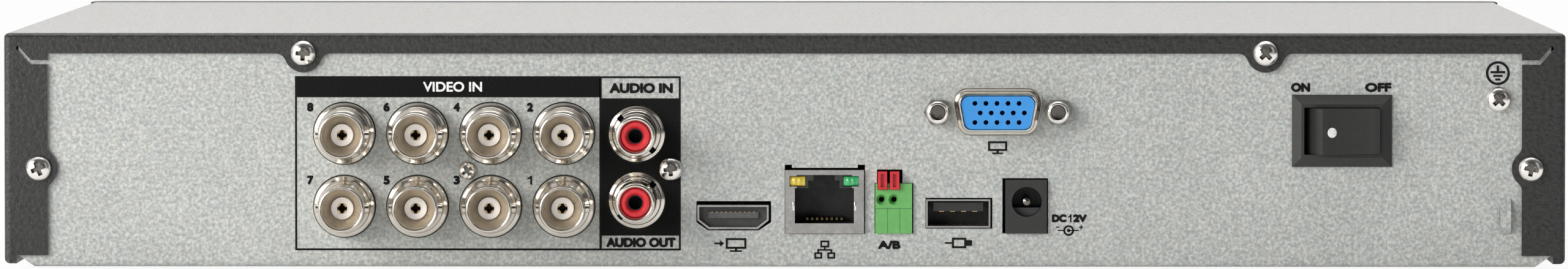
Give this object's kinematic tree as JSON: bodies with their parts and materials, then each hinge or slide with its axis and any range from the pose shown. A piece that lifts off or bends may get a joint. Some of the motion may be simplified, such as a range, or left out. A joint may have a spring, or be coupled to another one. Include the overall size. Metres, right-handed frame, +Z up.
{
  "type": "video recorder",
  "caption": "Low steel video recorder with bayonet video jacks, audio jacks, monitor, network and data ports, a rocker power switch, and a hard disk inside.",
  "frame": {"origin": "bottom centre of the whole object, on the plane the feet stand on", "axes": "+Z up, -Y out of the connector panel, +Y out of the front bezel, +X to the right when looking at the connector panel"},
  "size_m": [0.325, 0.255, 0.0507],
  "materials": {
    "case_black": "fine texture powder coat",
    "case_grey": "zinc plated, matt",
    "bezel_black": "matt",
    "smoked_window": "smoked, polished",
    "clear_plastic": "clear",
    "circuit_board": "solder mask",
    "rubber_pads": "matt",
    "bright_screws": "nickel plated",
    "nickel_jacks": "nickel plated",
    "port_metal": "tin plated",
    "contact_brass": "gold flash",
    "black_plastic": "moulded",
    "white_plastic": "moulded",
    "red_plastic": "moulded",
    "green_plastic": "moulded",
    "blue_plastic": "moulded",
    "yellow_lamp": "diffused",
    "green_lamp": "diffused",
    "cable_jacket": "flexible",
    "cable_grey": "flexible",
    "bare_aluminium": "cast or extruded"
  },
  "bodies": {
    "recorder": {"top_cover": "case_black", "chassis_base": "case_grey", "front_bezel": "bezel_black", "front_window": "smoked_window", "light_pipes": "clear_plastic", "front_board": "circuit_board", "main_board": "circuit_board", "foot_pads": "rubber_pads", "cover_screws": "bright_screws", "ground_screw": "bright_screws", "video_block_screw": "bright_screws", "audio_block_screw": "bright_screws", "board_screws": "bright_screws", "disk_screws": "bright_screws", "monitor_port_screws": "bright_screws", "video_jacks": "nickel_jacks", "audio_jacks": "nickel_jacks", "power_jack_pin": "nickel_jacks", "digital_video_sleeve": "port_metal", "network_shield": "port_metal", "data_port_sleeve": "port_metal", "monitor_port_sleeve": "port_metal", "terminal_clamps": "port_metal", "video_contacts": "contact_brass", "audio_contacts": "contact_brass", "network_contacts": "contact_brass", "data_port_contacts": "contact_brass", "switch_terminals": "contact_brass", "video_block": "black_plastic", "audio_block": "black_plastic", "digital_video_tongue": "black_plastic", "data_port_tongue": "black_plastic", "network_insert": "black_plastic", "power_jack_body": "black_plastic", "switch_housing": "black_plastic", "board_chips": "black_plastic", "clock_cell_holder": "black_plastic", "alarm_buzzer": "black_plastic", "disk_sockets": "black_plastic", "video_insulators": "white_plastic", "audio_insulators": "red_plastic", "terminal_block": "green_plastic", "monitor_port_insert": "blue_plastic", "board_capacitors": "blue_plastic", "network_lamp_yellow": "yellow_lamp", "network_lamp_green": "green_lamp", "disk_data_cable": "cable_jacket", "switch_wires": "cable_jacket", "front_cable": "cable_grey", "disk_power_cable": "cable_grey", "monitor_port_cable": "cable_grey", "processor_heatsink": "bare_aluminium", "disk_base": "bare_aluminium", "disk_lid": "bare_aluminium", "clock_cell": "bare_aluminium"},
    "power_rocker": {"switch_rocker": "black_plastic"},
    "release_button_left": {"terminal_button_left": "red_plastic"},
    "release_button_right": {"terminal_button_right": "red_plastic"},
    "disk_spindle": {"disk_platters": "bare_aluminium"},
    "disk_head_arm": {"disk_arm": "bare_aluminium"}
  },
  "joints": [
    {"name": "power_rocker_tilt", "type": "hinge", "parent": "recorder", "child": "power_rocker", "pos_m": [0.116, -0.11, 0.0304], "axis": [0, 0, 1], "range_deg": [-23.6, 0]},
    {"name": "release_button_left_press", "type": "slide", "parent": "recorder", "child": "release_button_left", "axis": [0, 1, 0], "range_m": [0, 0.0012], "stiffness_N_per_m": 800},
    {"name": "release_button_right_press", "type": "slide", "parent": "recorder", "child": "release_button_right", "axis": [0, 1, 0], "range_m": [0, 0.0012], "stiffness_N_per_m": 800},
    {"name": "disk_spindle_turn", "type": "hinge", "parent": "recorder", "child": "disk_spindle", "pos_m": [0.086, 0.0528, 0.0049], "axis": [0, 0, 1], "continuous": true},
    {"name": "disk_arm_swing", "type": "hinge", "parent": "recorder", "child": "disk_head_arm", "pos_m": [0.033, 0.07, 0.0049], "axis": [0, 0, 1], "range_deg": [0, 36]}
  ]
}
